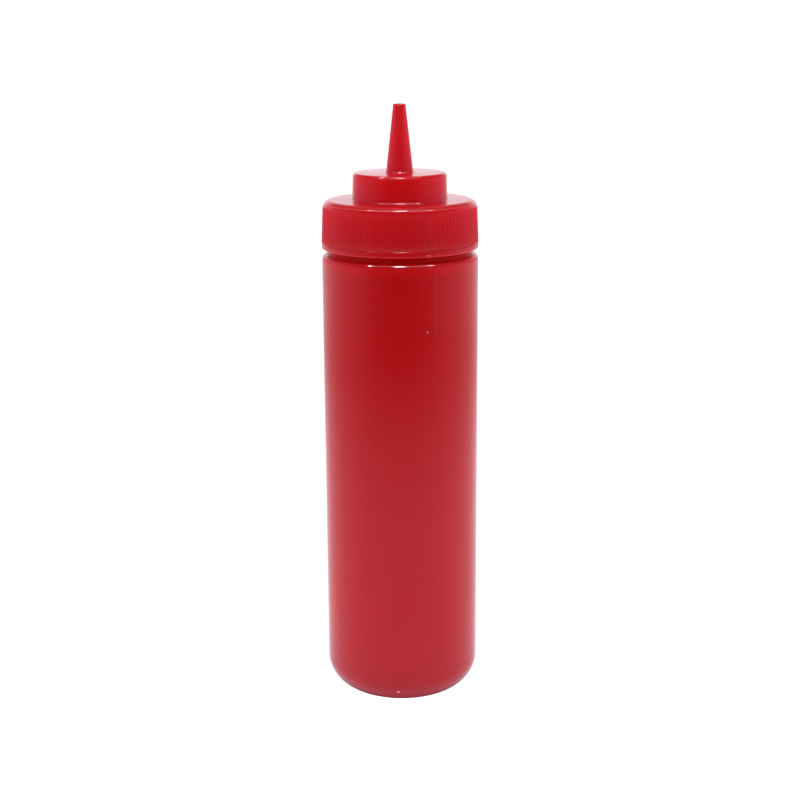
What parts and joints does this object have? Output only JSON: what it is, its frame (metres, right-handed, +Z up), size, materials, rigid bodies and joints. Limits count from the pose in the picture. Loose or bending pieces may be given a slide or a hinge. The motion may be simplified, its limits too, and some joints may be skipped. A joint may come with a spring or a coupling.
{
  "type": "condiment squeeze bottle",
  "caption": "Round squeeze bottle for sauce with a straight body, rounded foot and shoulder, and a screw cap with a ribbed skirt, raised disc and tapered nozzle.",
  "frame": {"origin": "centre of the flat foot, on the surface that the bottle stands on", "axes": "+Z up along the bottle's axis towards the nozzle tip; -Y faces the camera of the picture; +X is to the right in it"},
  "size_m": [0.0674, 0.0674, 0.26],
  "materials": {
    "bottle_plastic": "smooth glossy blow-moulded polyethylene, opaque red",
    "cap_plastic": "satin gloss injection-moulded polyethylene, opaque red"
  },
  "bodies": {
    "root": {"bottle": "bottle_plastic", "cap": "cap_plastic"}
  },
  "joints": []
}
